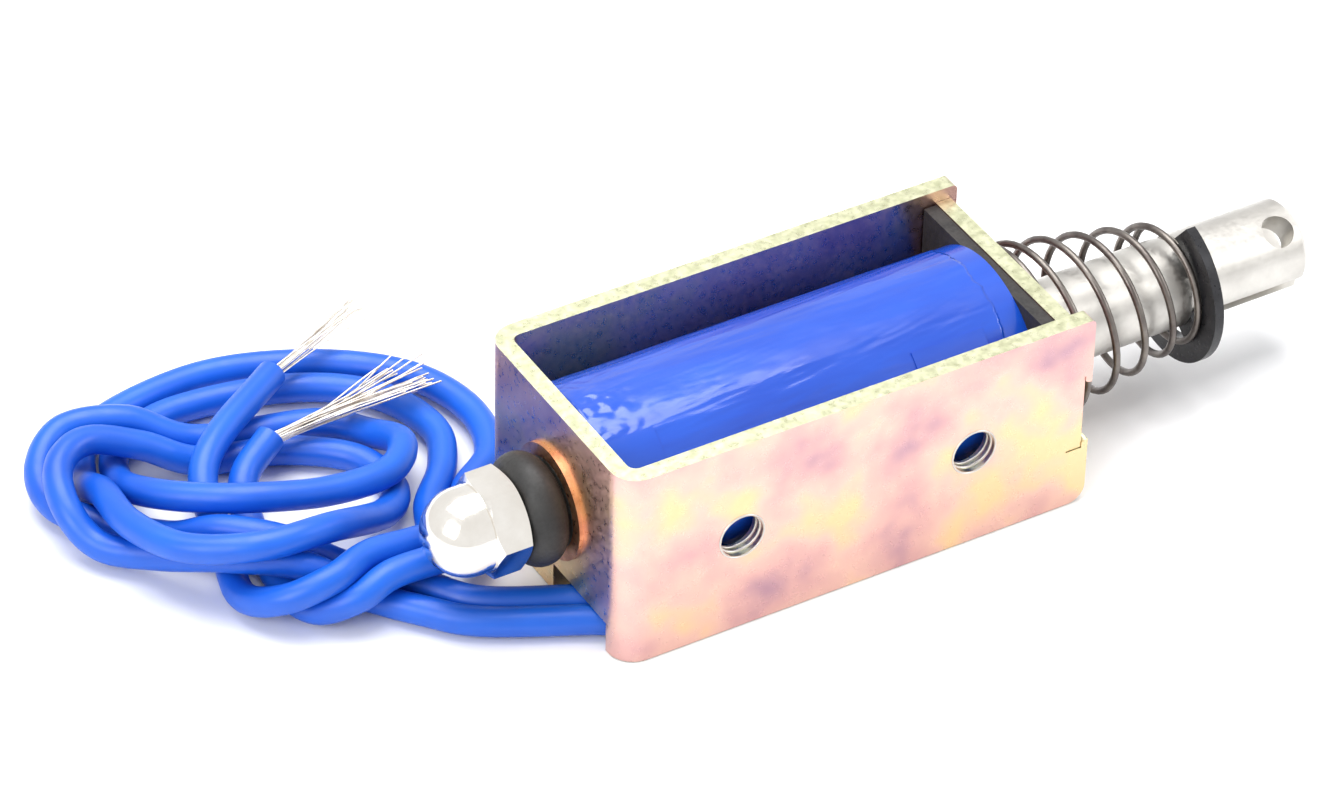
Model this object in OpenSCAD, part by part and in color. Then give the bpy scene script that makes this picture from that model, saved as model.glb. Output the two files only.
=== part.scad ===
// Open-frame push pull solenoid with a return spring.
// The frame rests on z = 0, and the origin is under the middle of the whole length.
// +X runs along the plunger towards its slotted end, +Y away from the tapped side, +Z up.

/* [Frame] */
// Length of the U-shaped frame along the plunger
frame_len = 45.5; // [42:0.5:60]
// Width of the frame across its two side plates
frame_w = 23.3; // [22:0.1:27]
// Height of the frame
frame_h = 19.3; // [19:0.1:24]
// Thickness of the frame's sheet steel
sheet_t = 1.6; // [1.2:0.1:2]
// Outside radius of the two folds
fold_r = 2.4; // [2.2:0.1:4]
// Radius of the side plates' lower free corners
low_corner_r = 1.7; // [0.5:0.1:2.5]
// Radius of the side plates' upper free corners
top_corner_r = 0.5; // [0.2:0.1:1.5]

/* [Side holes] */
// Diameter of the tapped holes in the side plate
hole_d = 4; // [3:0.1:5]
// Distance between the tapped holes
hole_pitch = 22.6; // [18:0.1:26]
// Distance from the rear face to the middle of the hole pair
hole_mid = 22.6; // [21:0.1:24]

/* [End plate] */
// Thickness of the front end plate
plate_t = 1.5; // [1:0.1:2]
// Height of the front end plate
plate_h = 16.9; // [16:0.1:18.5]
// How far the end plate sits inside the frame's front edge
plate_inset = 0.65; // [0.4:0.05:1.2]
// Width of the tabs that lock into the side plates
tab_w = 7.6; // [5:0.1:10]
// Clearance of the tabs in their notches
tab_gap = 0.05; // [0.02:0.01:0.15]
// How far the staked lips reach over the tabs
stake_reach = 0.7; // [0.3:0.1:1]

/* [Coil] */
// Outer radius of the taped coil
coil_r = 9.25; // [8.8:0.05:9.45]
// Thickness of the tape
tape_t = 0.3; // [0.1:0.05:0.6]
// Wall of the bobbin's tube
bobbin_wall = 0.7; // [0.5:0.1:1]
// Thickness of each bobbin flange
flange_t = 1; // [0.6:0.1:1.5]
// Thickness of the black insulating plate
insulator_t = 1.25; // [0.8:0.05:2]
// Gap left round the insulating plate
insulator_gap = 0.15; // [0.1:0.05:0.4]
// Thickness of the tape patches on top of the wrap
patch_t = 0.2; // [0.1:0.05:0.3]

/* [Guide and core] */
// Outer diameter of the brass guide tube
tube_d = 9; // [8.6:0.1:10]
// Radial running clearance between plunger and guide tube
slide_gap = 0.05; // [0.02:0.01:0.1]
// Radius of the guide tube's flared lip
lip_r = 5.2; // [5:0.1:6.5]
// Thickness of the flared lip
lip_t = 0.4; // [0.2:0.05:0.8]
// Length of the fixed core
core_len = 14.8; // [10:0.1:18]
// Thickness of the shim on the core's inner face
shim_t = 0.3; // [0.1:0.05:0.5]

/* [Plunger] */
// Diameter of the plunger
plunger_d = 8; // [7.6:0.1:8.2]
// Full travel of the plunger
stroke = 10; // [6:0.5:10]
// Reach of the plunger in front of the frame's front edge
plunger_reach = 28; // [26:0.1:32]
// Diameter of the cross hole in the plunger's end
cross_d = 3; // [2:0.1:3.6]
// Distance of the cross hole from the plunger's tip
cross_set = 2.5; // [2.2:0.1:4]
// Width of the slot in the plunger's end
slot_w = 2; // [1:0.1:3]
// Depth of the slot
slot_depth = 9.5; // [6:0.5:11]
// Turn of the cross hole about the plunger's axis, from level
cross_turn = 57; // [0:1:90]
// Chamfer on the plunger's tip
tip_chamfer = 0.6; // [0.2:0.1:1]

/* [Push rod and nut] */
// Diameter of the push rod
rod_d = 5; // [4:0.1:5]
// Clearance of the rod in the fixed core
rod_gap = 0.1; // [0.05:0.01:0.3]
// Thread depth of the rod in the plunger
rod_depth = 6; // [4:0.5:8]
// Width across flats of the cap nut
nut_flats = 8; // [7:0.1:9]
// Height of the nut's hexagon
nut_hex_h = 3.1; // [2.5:0.1:4]
// Radius of the nut's dome
dome_r = 3.85; // [3.3:0.05:3.95]
// Length of the straight wall below the dome
dome_wall = 0.95; // [0.5:0.05:2]
// Turn of the hexagon about the axis
nut_turn = -3; // [-30:1:30]
// Outer radius of the rubber bumper
bumper_r = 5; // [4.4:0.1:6]
// Thickness of the rubber bumper
bumper_t = 3.8; // [2.5:0.1:4.5]

/* [Clip and spring] */
// Distance from the frame's front edge to the clip's far face
clip_reach = 16.55; // [15:0.05:20]
// Thickness of the E-shaped clip
clip_t = 0.9; // [0.6:0.1:1.1]
// Outer radius of the clip
clip_r = 7.4; // [6.5:0.1:8]
// Diameter of the groove that holds the clip
groove_d = 7; // [6:0.1:7.2]
// Turn of the clip's mouth about the axis
clip_turn = 38; // [0:1:359]
// Diameter of the spring wire
wire_d = 0.65; // [0.5:0.05:0.8]
// Coil radius of the spring at the frame, to the wire's middle
spring_r_big = 8.1; // [7:0.1:8.4]
// Coil radius of the spring at the clip, to the wire's middle
spring_r_small = 5.3; // [5:0.1:6]
// Number of open turns
spring_turns = 4.6; // [3:0.1:5]
// Closed turns at each end
dead_turns = 0.75; // [0.5:0.05:1]

/* [Lead wires] */
// Outer diameter of each lead
lead_d = 2.6; // [2:0.1:2.8]
// Clearance round the leads where they pass the bobbin and the tape
lead_gap = 0.1; // [0.05:0.05:0.2]
// Width of the notch that lets the leads out of the rear plate
exit_w = 8.8; // [8.6:0.1:10]
// Height of that notch
exit_h = 2.9; // [2.8:0.1:3.6]
// Diameter of each splice sleeve
splice_d = 1.8; // [1.2:0.1:2]
// Length of each splice sleeve
splice_len = 6; // [4:0.5:10]
// Diameter of the coil's own wire where it leaves the winding
tail_d = 0.5; // [0.4:0.05:0.6]
// Diameter of the bare strands' bundle at the end of a lead
core_d = 1.2; // [1:0.1:1.4]

/* [Hidden] */
$fn = 48;
EPS = 0.01;
FIT = 0.02;

nut_stack = lip_t + bumper_t + nut_hex_h + dome_wall + dome_r;
// Outer face of the rear plate, and the frame's front edge
rear_x = (nut_stack - frame_len - plunger_reach) / 2;
front_x = rear_x + frame_len;
near_y = -frame_w / 2;
axis_z = frame_h / 2;

plate_front = front_x - plate_inset;
plate_back = plate_front - plate_t;
insulator_front = plate_back - FIT;
insulator_back = insulator_front - insulator_t;
bobbin_rear = rear_x + sheet_t + 0.1;
bobbin_front = insulator_back - FIT;
wind_rear = bobbin_rear + flange_t;
wind_front = bobbin_front - flange_t;

tube_r = tube_d / 2;
guide_r = plunger_d / 2 + slide_gap;
lip_x = rear_x - lip_t;
bobbin_bore = tube_r + 0.1;
barrel_r = bobbin_bore + bobbin_wall;
wind_r = coil_r - tape_t;

core_front = lip_x + core_len;
shim_front = core_front + shim_t;
plunger_rear = shim_front + 0.1 + stroke;
plunger_tip = front_x + plunger_reach;
clip_front = front_x + clip_reach;
clip_back = clip_front - clip_t;
groove_gap = 0.05;

nut_face = lip_x - bumper_t;
nut_rear = nut_face - nut_hex_h;
nut_corner = nut_flats / 2 / cos(30);
dome_centre = nut_rear - dome_wall;
rod_rear = nut_rear - 2;

// Where each lead lies inside the frame, from the near side plate's face and the floor
lead_r = lead_d / 2;
lead_y = [6.05, 3.2];
lead_fan = 8.2; // how far the first lead has swung over where it leaves
lead_z = lead_r + 0.05;
lead_end = rear_x + 8;
patch_mid = 135; // angle of the tape patches round the coil
strand_reach = 13;

steel = [0.80, 0.66, 0.55];
nickel = [0.78, 0.76, 0.72];
brass = [0.72, 0.45, 0.25];
black = [0.08, 0.08, 0.09];
blue = [0.05, 0.25, 0.75];

// Turns a solid made along +Z so that it runs along +X on the plunger's axis
module on_axis(x) {
  translate([x, 0, axis_z]) rotate([0, 90, 0]) children();
}

// A round tube on the plunger's axis
module ring(x0, x1, r_in, r_out) {
  on_axis(x0) difference() {
    cylinder(r = r_out, h = x1 - x0, $fn = 64);
    translate([0, 0, -EPS]) cylinder(r = r_in, h = x1 - x0 + 2 * EPS, $fn = 64);
  }
}

// A round bar along +X beside the plunger's axis
module bar(x0, x1, y, z, d) {
  translate([x0, y, z]) rotate([0, 90, 0]) cylinder(d = d, h = x1 - x0, $fn = 32);
}

// Seen from above: the U of the frame, with true arcs at its folds
module frame_outline() {
  inner_r = fold_r - sheet_t;
  far = -near_y;
  difference() {
    union() {
      translate([rear_x + fold_r, near_y]) square([frame_len - fold_r, frame_w]);
      translate([rear_x, near_y + fold_r]) square([fold_r + EPS, frame_w - 2 * fold_r]);
      for (s = [-1, 1]) translate([rear_x + fold_r, s * (far - fold_r)]) circle(r = fold_r);
    }
    translate([rear_x + fold_r, near_y + sheet_t]) square([frame_len, frame_w - 2 * sheet_t]);
    translate([rear_x + sheet_t, near_y + fold_r]) square([inner_r + EPS, frame_w - 2 * fold_r]);
    for (s = [-1, 1]) translate([rear_x + fold_r, s * (far - fold_r)]) circle(r = inner_r);
  }
}

// Leaves a round corner at the front of both side plates; up is 1 at the top, -1 at the bottom
module corner_cut(r, up) {
  translate([front_x - r, near_y - 1, axis_z + up * (axis_z - r)]) difference() {
    translate([0, 0, up > 0 ? 0 : -r - 1]) cube([r + 1, frame_w + 2, r + 1]);
    rotate([-90, 0, 0]) cylinder(r = r, h = frame_w + 2);
  }
}

// Frame metal staked over the end plate's tabs, at both corners of each notch
module stake_lips() {
  lip = stake_reach + 0.3;
  for (up = [-1, 1]) for (y = [near_y, -near_y - sheet_t]) intersection() {
    translate([front_x, y, axis_z + up * (tab_w / 2 + 0.3)]) rotate([-90, 0, 0])
      cylinder(r = lip, h = sheet_t);
    translate([plate_front + FIT, y, axis_z - tab_w])
      cube([plate_inset - FIT, sheet_t, 2 * tab_w]);
  }
}

// Room for the leads and their splices beside the coil
module lead_room() {
  hull() for (y = [lead_y[0], lead_fan])
    bar(rear_x, bobbin_rear + 2.5, near_y + y, lead_z, lead_d + 2 * lead_gap);
  for (y = lead_y) {
    bar(rear_x, lead_end + FIT, near_y + y, lead_z, lead_d + 2 * lead_gap);
    bar(lead_end, lead_end + splice_len + FIT, near_y + y, lead_z, splice_d + 2 * FIT);
  }
}

module yoke() color(steel) {
  difference() {
    linear_extrude(frame_h) frame_outline();
    for (s = [-1, 1]) translate([rear_x + hole_mid + s * hole_pitch / 2, near_y - 1, axis_z])
      rotate([-90, 0, 0]) cylinder(d = hole_d, h = sheet_t + 2);
    on_axis(rear_x - 1) cylinder(r = tube_r + FIT, h = sheet_t + 2, $fn = 64);
    translate([plate_back - tab_gap, near_y - 1, axis_z - tab_w / 2 - tab_gap])
      cube([frame_len, frame_w + 2, tab_w + 2 * tab_gap]);
    corner_cut(low_corner_r, -1);
    corner_cut(top_corner_r, 1);
    translate([rear_x - 1, near_y + 2.7, -1]) cube([sheet_t + 2, exit_w, exit_h + 1]);
  }
  stake_lips();
}

module end_plate() color(steel) difference() {
  inner_w = frame_w - 2 * sheet_t - 2 * FIT;
  union() {
    translate([plate_back, -inner_w / 2, axis_z - plate_h / 2]) cube([plate_t, inner_w, plate_h]);
    translate([plate_back, near_y + 0.1, axis_z - tab_w / 2]) cube([plate_t, frame_w - 0.2, tab_w]);
  }
  on_axis(plate_back - 1) cylinder(r = tube_r + FIT, h = plate_t + 2, $fn = 64);
}

module insulator_plate() color(black) difference() {
  w = frame_w - 2 * sheet_t - 2 * insulator_gap;
  h = plate_h - 2 * insulator_gap;
  translate([insulator_back, -w / 2, axis_z - h / 2]) cube([insulator_t, w, h]);
  on_axis(insulator_back - 1) cylinder(r = tube_r + FIT, h = insulator_t + 2, $fn = 64);
}

// Brass tube that guides the plunger, flared over the rear plate
module guide_tube() color(brass) {
  ring(rear_x - EPS, plate_front, guide_r, tube_r);
  ring(lip_x, rear_x, guide_r, lip_r);
}

module fixed_core() color(nickel)
  ring(lip_x, core_front, rod_d / 2 + rod_gap, guide_r - FIT);

module core_shim() color(brass)
  ring(core_front, shim_front, rod_d / 2 + rod_gap + 0.2, guide_r - 0.2);

module bobbin() color(black) difference() {
  union() {
    ring(bobbin_rear, bobbin_front, bobbin_bore, barrel_r);
    ring(bobbin_rear, wind_rear, bobbin_bore, wind_r);
    ring(wind_front, bobbin_front, bobbin_bore, wind_r);
  }
  lead_room();
}

module winding() color([0.65, 0.32, 0.12]) difference() {
  ring(wind_rear, wind_front, barrel_r, wind_r);
  lead_room();
}

module tape_wrap() color(blue) difference() {
  ring(bobbin_rear, bobbin_front, wind_r, coil_r);
  lead_room();
  coil_tails(0.04);
}

// A patch of tape on the wrap, between two angles from +Y towards +Z
module patch(x0, x1, a0, a1) {
  on_axis(x0) rotate([0, 0, 90 + a0])
    rotate_extrude(angle = a1 - a0, $fn = 64) translate([coil_r, 0]) square([patch_t, x1 - x0]);
}
module tape_patches() color(blue) {
  patch(bobbin_rear + 0.1, bobbin_rear + 5.1, patch_mid - 17, patch_mid + 17);
  patch(bobbin_front - 11, bobbin_front - 4, patch_mid - 8, patch_mid + 18);
}

module splice(i) color(black)
  bar(lead_end + FIT, lead_end + splice_len, near_y + lead_y[i], lead_z, splice_d);
module splice_sleeve_a() splice(0);
module splice_sleeve_b() splice(1);

// The coil's own two wire ends, each from the winding to its splice
module coil_tails(extra = 0) {
  for (y = lead_y) {
    from = [lead_end + splice_len - 1, near_y + y, lead_z];
    out = [0, from[1], from[2] - axis_z];
    reach = norm(out);
    lean = atan2(out[1], -out[2]);
    translate([from[0], 0, axis_z]) rotate([lean, 0, 0])
      translate([0, 0, -reach + splice_d / 2 + FIT])
        cylinder(d = tail_d + extra, h = reach - wind_r - splice_d / 2 - FIT, $fn = 16);
  }
}
module winding_tails() color([0.65, 0.32, 0.12]) coil_tails();

module plunger() color(nickel) difference() {
  r = plunger_d / 2;
  on_axis(0) rotate_extrude($fn = 64) polygon([
    [0, plunger_rear], [r - 0.3, plunger_rear], [r, plunger_rear + 0.3],
    [r, clip_back - groove_gap], [groove_d / 2, clip_back - groove_gap],
    [groove_d / 2, clip_front + groove_gap], [r, clip_front + groove_gap],
    [r, plunger_tip - tip_chamfer], [r - tip_chamfer, plunger_tip], [0, plunger_tip]
  ]);
  on_axis(plunger_rear - 1) cylinder(d = rod_d + 2 * FIT, h = rod_depth + 1);
  translate([plunger_tip - cross_set, 0, axis_z]) rotate([90 - cross_turn, 0, 0])
    translate([0, 0, -plunger_d]) cylinder(d = cross_d, h = 2 * plunger_d);
  translate([plunger_tip - slot_depth, 0, axis_z]) rotate([90 - cross_turn, 0, 0])
    translate([0, -plunger_d, -slot_w / 2]) cube([slot_depth + 1, 2 * plunger_d, slot_w]);
}

module push_rod() color(nickel) on_axis(0) rotate_extrude() polygon([
  [0, rod_rear], [rod_d / 2 - 0.4, rod_rear], [rod_d / 2, rod_rear + 0.4],
  [rod_d / 2, plunger_rear + rod_depth - 0.4], [rod_d / 2 - 0.4, plunger_rear + rod_depth],
  [0, plunger_rear + rod_depth]
]);

module acorn_nut() color(nickel) difference() {
  union() {
    intersection() {
      on_axis(nut_rear) rotate([0, 0, 90 + nut_turn])
        cylinder(r = nut_corner, h = nut_hex_h, $fn = 6);
      on_axis(0) rotate_extrude($fn = 64) polygon([
        [0, nut_rear], [nut_flats / 2, nut_rear], [nut_corner + 0.1, nut_rear + 0.4],
        [nut_corner + 0.1, nut_face - 0.3], [nut_flats / 2, nut_face], [0, nut_face]
      ]);
    }
    on_axis(dome_centre) cylinder(r = dome_r, h = dome_wall + EPS, $fn = 64);
    on_axis(dome_centre) sphere(r = dome_r, $fn = 64);
  }
  on_axis(rod_rear) cylinder(d = rod_d + 2 * FIT, h = nut_face - rod_rear + 1);
}

module bumper() color(black) on_axis(lip_x - FIT - bumper_t / 2) rotate_extrude($fn = 64) {
  round_r = bumper_t / 2 - FIT;
  hole_r = rod_d / 2 + FIT;
  translate([hole_r, -round_r]) square([bumper_r - round_r - hole_r, 2 * round_r]);
  intersection() {
    translate([bumper_r - round_r, 0]) circle(r = round_r);
    translate([bumper_r - round_r - EPS, -round_r]) square([round_r + 1, 2 * round_r]);
  }
}

// E-shaped clip: three lugs reach into the groove, and the mouth opens between two prongs
module e_clip() color(black) on_axis(clip_back) rotate([0, 0, 90 + clip_turn]) {
  seat_r = groove_d / 2 + 0.05;
  room_r = clip_r - 2.3;
  mouth = 0.87 * groove_d;
  linear_extrude(clip_t) difference() {
    circle(r = clip_r, $fn = 64);
    difference() {
      circle(r = room_r, $fn = 64);
      translate([-clip_r, -1.3]) square([clip_r, 2.6]);
      for (s = [-1, 1]) translate([-0.9, s * clip_r / 2 - clip_r / 2]) square([3, clip_r]);
    }
    circle(r = seat_r, $fn = 64);
    translate([0, -mouth / 2]) square([clip_r + 1, mouth]);
    translate([2.7, -clip_r - 1]) square([clip_r, 2 * clip_r + 2]);
  }
}

// A tube of round section swept along points, closed at both ends
function unit(v) = v / norm(v);
function heading(p, i) = unit(p[min(i + 1, len(p) - 1)] - p[max(i - 1, 0)]);
function side_axis(t) = unit(abs(t[2]) > 0.9 ? cross(t, [1, 0, 0]) : cross(t, [0, 0, 1]));
module swept_tube(points, radii, sides) {
  last = len(points) - 1;
  verts = [for (i = [0:last]) let (t = heading(points, i), u = side_axis(t), v = cross(u, t))
    for (k = [0:sides - 1]) let (a = 360 * (k + 0.5) / sides)
      points[i] + radii[i] * (cos(a) * u + sin(a) * v)];
  walls = [for (i = [0:last - 1]) for (k = [0:sides - 1]) let (n = (k + 1) % sides)
    [i * sides + k, i * sides + n, (i + 1) * sides + n, (i + 1) * sides + k]];
  start = [[for (k = [0:sides - 1]) sides - 1 - k]];
  end = [[for (k = [0:sides - 1]) last * sides + k]];
  polyhedron(points = verts, faces = concat(walls, start, end));
}

// Conical return spring: its closed end turns, its open turns, and the closed turns again
spring_x0 = plate_front + wire_d / 2 + FIT;
spring_x1 = clip_back - wire_d / 2 - FIT;
closed_rise = dead_turns * wire_d;
all_turns = spring_turns + 2 * dead_turns;
function open_share(n) = min(1, max(0, (n - dead_turns) / spring_turns));
function dead_share(n) = min(n, dead_turns) + max(0, n - dead_turns - spring_turns);
function spring_x(n) = spring_x0 + wire_d * 1.05 * max(0, dead_share(n) - 0.3)
  + (spring_x1 - spring_x0 - wire_d * 1.05 * (2 * dead_turns - 0.6)) * open_share(n);
function spring_r(n) = spring_r_big + (spring_r_small - spring_r_big) * open_share(n);
function spring_point(n) = let (a = 360 * n, r = spring_r(n))
  [spring_x(n), r * cos(a), axis_z + r * sin(a)];
module return_spring() color([0.25, 0.22, 0.20]) {
  steps = ceil(all_turns * 20);
  swept_tube([for (i = [0:steps]) spring_point(i * all_turns / steps)],
    [for (i = [0:steps]) wire_d / 2], 10);
}
// Route of each lead, from its splice to its bare end: millimetres from the frame's rear
// near corner and the floor
route_a = [
  [8, 6.05, 1.35], [4.5, 6.05, 1.35], [0, 8.2, 1.4], [-7, 12, 1.4], [-10.5, 17, 1.4], [-15, 21, 2],
  [-18.5, 23.5, 4.1], [-22.8, 27.5, 4.2], [-25.7, 31.5, 1.8], [-29.5, 36, 1.4], [-32.5, 39.5, 2],
  [-32, 43.5, 3], [-28.5, 46, 4.2], [-23.2, 44.5, 4.2], [-18, 42, 1.8], [-8, 39.5, 1.4],
  [-4.5, 35.5, 1.8], [-3.8, 31, 3.6], [-7, 27.5, 4.2], [-13, 27, 4.8], [-19.5, 28.5, 5.6],
  [-24, 32, 5], [-26.5, 36.5, 3.6], [-26, 41, 1.5], [-24, 44.5, 1.4], [-18, 46.8, 1.4], [-8, 45, 1.4],
  [-1.5, 40.5, 1.4], [0.8, 34, 1.4], [-1, 29, 1.4], [-4.5, 25, 1.4], [-6.5, 21, 1.8],
  [-9.5, 18.6, 3.9], [-14, 18, 4.8], [-18, 16.6, 4.9], [-22, 17.8, 3.4], [-23.8, 22, 1.5],
  [-22, 29, 1.4], [-21, 34.5, 3.2], [-17.8, 38.2, 4.4], [-9.5, 44, 4.3]
];
route_b = [
  [8, 3.2, 1.35], [3.5, 3.5, 1.35], [0, 5.3, 1.4], [-8, 9.5, 1.4], [-11.5, 13, 1.4], [-15, 17.3, 1.5],
  [-19, 20, 4.2], [-24, 24, 4.2], [-28, 29, 2.4], [-31.5, 33, 2], [-32.7, 36.7, 3.9],
  [-31.5, 40.5, 5.2], [-28, 42.5, 5.2], [-23.5, 41.3, 3.8], [-19, 39.5, 1.6], [-12, 37.5, 1.4],
  [-7, 33.5, 1.4], [-6, 28.5, 1.4], [-9, 24.5, 2.6], [-16, 21, 6.4], [-22.5, 21, 7], [-27.5, 25, 6],
  [-29.5, 31, 5], [-29.2, 37, 4], [-28.8, 41.5, 1.6], [-26.8, 45.8, 1.4], [-22.5, 49, 1.4],
  [-13, 50, 1.4], [-4, 46.8, 1.4], [2.5, 41.3, 1.4], [4.8, 34.5, 1.4], [3.3, 28.5, 1.4], [-1, 25, 1.4],
  [-2.3, 21, 1.4], [-3.8, 17.6, 2], [-7.5, 15.6, 3.9], [-13, 15.4, 4.3], [-16.5, 15.1, 3.3],
  [-19.3, 17.3, 1.6], [-20.2, 21.5, 1.4], [-18.8, 30.5, 1.5], [-17.2, 34.3, 2.8], [-13.5, 36.5, 4.2]
];
function placed(route) = [for (p = route) p + [rear_x, near_y, 0]];
module lead(route) color(blue) {
  path = placed(route);
  swept_tube(path, [for (p = path) lead_r], 8);
}
module lead_wire_a() lead(route_a);
module lead_wire_b() lead(route_b);

// Bare strands at a lead's end, drawn as one bundle that tapers where the strands spread
module strands(route, reach) color(nickel) {
  path = placed(route);
  last = len(path) - 1;
  way = unit(path[last] - path[last - 1]);
  swept_tube([path[last], path[last] + 0.3 * reach * way, path[last] + reach * way],
    [core_d / 2, core_d / 2, core_d / 3], 8);
}
module strands_a() strands(route_a, strand_reach);
module strands_b() strands(route_b, strand_reach);

yoke();
end_plate();
insulator_plate();
guide_tube();
fixed_core();
core_shim();
bobbin();
winding();
winding_tails();
tape_wrap();
tape_patches();
splice_sleeve_a();
splice_sleeve_b();
plunger();
push_rod();
acorn_nut();
bumper();
e_clip();
return_spring();
lead_wire_a();
lead_wire_b();
strands_a();
strands_b();
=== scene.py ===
# %% [markdown]
# # A push pull solenoid
# The frame, the coil, the plunger and the small hardware come from the CAD model with their sizes
# and places already right. This script gives them their finishes, winds the return spring, lays
# the two lead wires, and sets up the floor, the lights and the camera.

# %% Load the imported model
import math

import bmesh
import bpy
import numpy as np
from mathutils import Matrix, Vector, noise


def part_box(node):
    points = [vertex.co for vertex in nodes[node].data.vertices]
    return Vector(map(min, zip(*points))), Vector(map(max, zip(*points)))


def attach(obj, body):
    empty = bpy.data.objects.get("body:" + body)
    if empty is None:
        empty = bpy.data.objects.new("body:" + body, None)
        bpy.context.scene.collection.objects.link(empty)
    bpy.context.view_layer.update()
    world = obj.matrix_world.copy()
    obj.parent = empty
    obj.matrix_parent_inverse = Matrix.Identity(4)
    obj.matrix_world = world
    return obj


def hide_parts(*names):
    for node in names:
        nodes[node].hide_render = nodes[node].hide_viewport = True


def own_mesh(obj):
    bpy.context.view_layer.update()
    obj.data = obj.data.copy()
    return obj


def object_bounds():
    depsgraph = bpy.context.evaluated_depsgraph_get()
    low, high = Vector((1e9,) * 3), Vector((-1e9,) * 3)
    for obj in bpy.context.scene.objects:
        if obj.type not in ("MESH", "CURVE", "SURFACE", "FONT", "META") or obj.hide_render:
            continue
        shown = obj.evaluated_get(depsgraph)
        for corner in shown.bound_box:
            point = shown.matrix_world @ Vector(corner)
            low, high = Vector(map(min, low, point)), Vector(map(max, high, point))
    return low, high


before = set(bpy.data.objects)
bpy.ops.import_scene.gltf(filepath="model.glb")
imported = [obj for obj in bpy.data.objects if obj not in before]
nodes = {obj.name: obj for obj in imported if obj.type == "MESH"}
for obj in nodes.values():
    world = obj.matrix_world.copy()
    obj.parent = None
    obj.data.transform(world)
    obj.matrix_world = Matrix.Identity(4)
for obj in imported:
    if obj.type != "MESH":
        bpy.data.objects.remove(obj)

model_box = [list(map(float, corner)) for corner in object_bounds()]
print("pieces from CAD:", len(nodes))

# %% [markdown]
# ## The camera
# A small object is shown from far away through a long lens, so that its edges stay nearly
# parallel. The camera's turn is written as a compass bearing, a height above the horizon and a roll,
# which reads more easily than a bare matrix. Its place is a plain point in metres.

# %% Camera
CAMERA_AZIMUTH = math.radians(-30.996)
CAMERA_HEIGHT = math.radians(38.527)
CAMERA_ROLL = math.radians(1.183)
CAMERA_PLACE = Vector((-0.22883, -0.34724, 0.33871))
LENS_MM = 169.69

back = Vector((math.sin(CAMERA_AZIMUTH) * math.cos(CAMERA_HEIGHT),
               -math.cos(CAMERA_AZIMUTH) * math.cos(CAMERA_HEIGHT),
               math.sin(CAMERA_HEIGHT)))
level_right = Vector((math.cos(CAMERA_AZIMUTH), math.sin(CAMERA_AZIMUTH), 0))
level_up = back.cross(level_right)
right = level_right * math.cos(CAMERA_ROLL) + level_up * math.sin(CAMERA_ROLL)
up = level_up * math.cos(CAMERA_ROLL) - level_right * math.sin(CAMERA_ROLL)

camera_data = bpy.data.cameras.new("camera")
camera_data.lens = LENS_MM
camera_data.sensor_width = 36
camera_data.clip_start = 0.01
camera = bpy.data.objects.new("camera", camera_data)
camera.matrix_world = Matrix((
    (right.x, up.x, back.x, CAMERA_PLACE.x),
    (right.y, up.y, back.y, CAMERA_PLACE.y),
    (right.z, up.z, back.z, CAMERA_PLACE.z),
    (0, 0, 0, 1)))
bpy.context.scene.collection.objects.link(camera)
bpy.context.scene.camera = camera
print("camera to origin, m:", round(CAMERA_PLACE.length, 3))

# %% [markdown]
# ## Floor and light
# The object stands on a plain white floor. Plated steel and polished nickel show what is around
# them, so the lights are large soft panels. The world looks pure white where the camera, a mirror or
# glass sees it. For everything else it is a weaker light, so the white background itself adds none.

# %% Helpers for materials
def new_material(name):
    """A node material with a Principled shader; gives the material, its nodes, links and shader."""
    made = bpy.data.materials.new(name)
    made.use_nodes = True
    tree = made.node_tree
    return made, tree.nodes, tree.links, tree.nodes["Principled BSDF"]


def node(tree_nodes, kind, inputs=None, **settings):
    """Adds one shader node, sets its properties, and fills its inputs by name or number."""
    made = tree_nodes.new(kind)
    for key, value in settings.items():
        setattr(made, key, value)
    for key, value in (inputs or {}).items():
        made.inputs[key].default_value = value
    return made


# %% World
world = bpy.data.worlds.new("studio")
bpy.context.scene.world = world
world.use_nodes = True
sky = world.node_tree
sky.nodes.clear()
WORLD_LIGHT = 0.55
room_light = node(sky.nodes, "ShaderNodeBackground", {"Color": (0.93, 0.95, 1, 1), "Strength": WORLD_LIGHT})
white_wall = node(sky.nodes, "ShaderNodeBackground", {"Color": (1, 1, 1, 1), "Strength": 1})
ray = node(sky.nodes, "ShaderNodeLightPath")
camera_or_mirror = node(sky.nodes, "ShaderNodeMath", operation="MAXIMUM")
or_glass = node(sky.nodes, "ShaderNodeMath", operation="MAXIMUM")
pick_wall = node(sky.nodes, "ShaderNodeMixShader")
sky_out = node(sky.nodes, "ShaderNodeOutputWorld")
sky.links.new(ray.outputs["Is Camera Ray"], camera_or_mirror.inputs[0])
sky.links.new(ray.outputs["Is Glossy Ray"], camera_or_mirror.inputs[1])
sky.links.new(camera_or_mirror.outputs[0], or_glass.inputs[0])
sky.links.new(ray.outputs["Is Transmission Ray"], or_glass.inputs[1])
sky.links.new(or_glass.outputs[0], pick_wall.inputs[0])
sky.links.new(room_light.outputs[0], pick_wall.inputs[1])
sky.links.new(white_wall.outputs[0], pick_wall.inputs[2])
sky.links.new(pick_wall.outputs[0], sky_out.inputs[0])
bpy.context.scene.view_settings.view_transform = "Standard"
print("world light:", WORLD_LIGHT)


# %% Lamps
def soft_panel(name, place, target, size, power):
    """A square area lamp at place that faces target."""
    data = bpy.data.lights.new(name, "AREA")
    data.shape = "SQUARE"
    data.size = size
    data.energy = power
    lamp = bpy.data.objects.new(name, data)
    lamp.location = place
    lamp.rotation_euler = (Vector(target) - Vector(place)).to_track_quat("-Z", "Y").to_euler()
    bpy.context.scene.collection.objects.link(lamp)
    return lamp


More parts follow.
